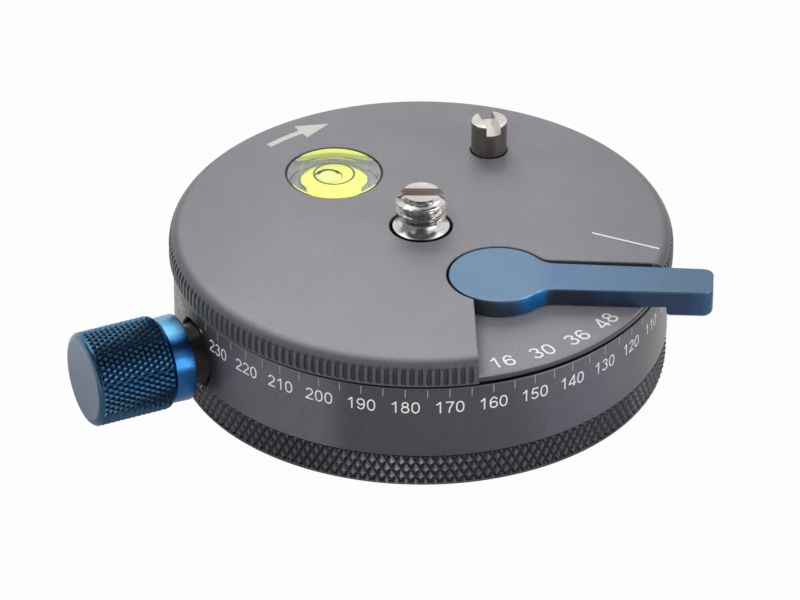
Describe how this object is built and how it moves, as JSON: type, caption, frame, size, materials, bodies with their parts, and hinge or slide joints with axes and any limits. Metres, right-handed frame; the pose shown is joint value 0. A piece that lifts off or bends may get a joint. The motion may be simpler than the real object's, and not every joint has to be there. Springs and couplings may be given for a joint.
{
  "type": "panoramic tripod head",
  "caption": "Round rotating camera platform with a degree scale, click-stop selector lever, round level and side clamp knob.",
  "frame": {"origin": "on the turning axis, at the underside of the base, in the mouth of the tripod socket", "axes": "+Z along the turning axis towards the camera, -Y towards the 176.6 degree point of the scale, +X to the right of a viewer who faces it"},
  "size_m": [0.0797, 0.063, 0.0229],
  "materials": {
    "plate_grey": "matte grey anodised",
    "ring_grey": "satin dark grey anodised",
    "foot_black": "black anodised knurl",
    "lever_blue": "satin blue anodised",
    "knob_blue": "glossy blue anodised",
    "bright_steel": "turned bright steel",
    "dark_steel": "blackened steel",
    "brass": "turned brass",
    "clear_resin": "clear polished",
    "level_green": "yellow-green liquid",
    "level_white": "white backing"
  },
  "bodies": {
    "base": {"base_disc": "foot_black", "scale_ring": "ring_grey", "tripod_socket": "bright_steel", "bearing_housing": "ring_grey", "bearing_outer_race": "bright_steel", "click_disc": "bright_steel", "click_disc_nut": "dark_steel", "clamp_gland": "dark_steel", "foot_screw_1": "dark_steel", "foot_screw_2": "dark_steel", "foot_screw_3": "dark_steel", "foot_screw_4": "dark_steel", "housing_screw_1": "dark_steel", "housing_screw_2": "dark_steel", "housing_screw_3": "dark_steel"},
    "rotor": {"top_plate": "plate_grey", "brake_drum": "dark_steel", "rotor_spindle": "bright_steel", "bearing_inner_race": "bright_steel", "spindle_clip": "dark_steel", "hub_screw_1": "dark_steel", "hub_screw_2": "dark_steel", "hub_screw_3": "dark_steel", "level_body": "clear_resin", "level_liquid": "level_green", "level_base": "level_white", "lever_bush": "brass", "pin_bush": "brass"},
    "ball_cage": {"bearing_cage": "brass", "bearing_ball_1": "bright_steel", "bearing_ball_2": "bright_steel", "bearing_ball_3": "bright_steel", "bearing_ball_4": "bright_steel", "bearing_ball_5": "bright_steel", "bearing_ball_6": "bright_steel", "bearing_ball_7": "bright_steel", "bearing_ball_8": "bright_steel"},
    "selector": {"selector_lever": "lever_blue", "lever_shaft": "bright_steel", "index_arm": "bright_steel", "arm_screw": "dark_steel", "click_spring": "bright_steel"},
    "click_ball": {"click_ball": "bright_steel"},
    "camera_screw": {"camera_screw": "bright_steel"},
    "anti_twist_pin": {"anti_twist_pin": "bright_steel"},
    "clamp": {"clamp_knob": "knob_blue", "clamp_screw": "bright_steel"},
    "clamp_shoe": {"clamp_shoe": "brass"}
  },
  "joints": [
    {"name": "rotor_turn", "type": "hinge", "parent": "base", "child": "rotor", "pos_m": [0, 0, 0.0092], "axis": [0, 0, 1], "continuous": true},
    {"name": "cage_turn", "type": "hinge", "parent": "base", "child": "ball_cage", "pos_m": [0, 0, 0.0092], "axis": [0, 0, 1], "continuous": true},
    {"name": "selector_swing", "type": "hinge", "parent": "rotor", "child": "selector", "pos_m": [0.00955, -0.0113, 0.0157], "axis": [0, 0, 1], "range_deg": [-84, 0]},
    {"name": "click_ball_lift", "type": "slide", "parent": "selector", "child": "click_ball", "axis": [0, 0, 1], "range_m": [0, 0.0006], "stiffness_N_per_m": 200, "springref_m": -0.0005, "deforming": ["click_spring"]},
    {"name": "camera_screw_turn", "type": "hinge", "parent": "rotor", "child": "camera_screw", "pos_m": [0, 0, 0.01805], "axis": [0, 0, 1], "continuous": true},
    {"name": "anti_twist_pin_travel", "type": "slide", "parent": "rotor", "child": "anti_twist_pin", "axis": [0, 0, 1], "range_m": [-0.0043, 0]},
    {"name": "clamp_turn", "type": "hinge", "parent": "base", "child": "clamp", "pos_m": [-0.03, -0.01405, 0.0075], "axis": [0.9056, 0.4242, 0], "range_deg": [0, 180]},
    {"name": "clamp_shoe_travel", "type": "slide", "parent": "base", "child": "clamp_shoe", "axis": [0.9056, 0.4242, 0], "range_m": [0, 0.00035]}
  ],
  "couplings": [
    {"joint": "cage_turn", "follows": "rotor_turn", "ratio": 0.4247},
    {"joint": "clamp_shoe_travel", "follows": "clamp_turn", "m_per_rad": 0.0001114}
  ]
}
